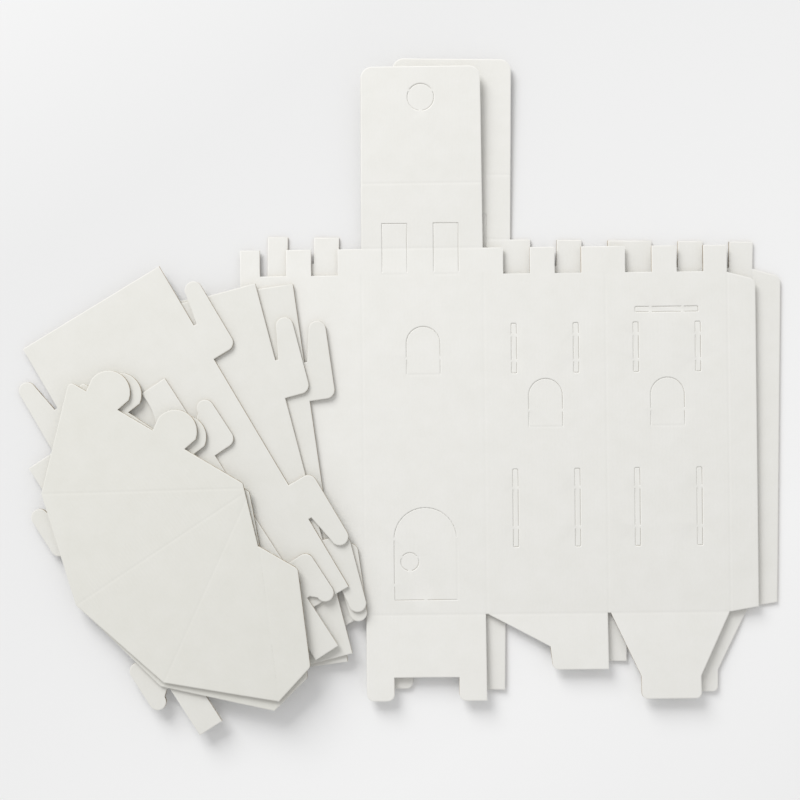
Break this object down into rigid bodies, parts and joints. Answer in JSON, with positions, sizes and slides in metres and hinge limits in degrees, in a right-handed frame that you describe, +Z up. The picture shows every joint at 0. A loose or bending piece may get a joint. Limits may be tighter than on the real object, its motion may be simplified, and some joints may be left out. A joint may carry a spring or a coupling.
{
  "type": "cardboard castle kit",
  "caption": "Flat-packed play castle of die-cut white corrugated board: scored tower wraps under a fanned pile of hooked walls and pyramid roofs.",
  "frame": {"origin": "on the table, under the middle of the whole layout", "axes": "+Z up off the table, +X along the row of tower wall panels towards the glue flaps, +Y from the base flaps towards the deck flaps"},
  "size_m": [0.4786, 0.4224, 0.0147],
  "materials": {
    "wrap_board": "matt white-lined corrugated board, die cut and scored",
    "wall_board": "matt white-lined corrugated board, die cut",
    "roof_board": "matt white-lined corrugated board, die cut and scored"
  },
  "bodies": {
    "root": {"tower_wrap_upper": "wrap_board", "tower_wrap_lower": "wrap_board", "curtain_wall_bottom": "wall_board", "curtain_wall_middle": "wall_board", "curtain_wall_top": "wall_board", "gate_wall": "wall_board", "roof_lower": "roof_board", "roof_upper": "roof_board"}
  },
  "joints": []
}
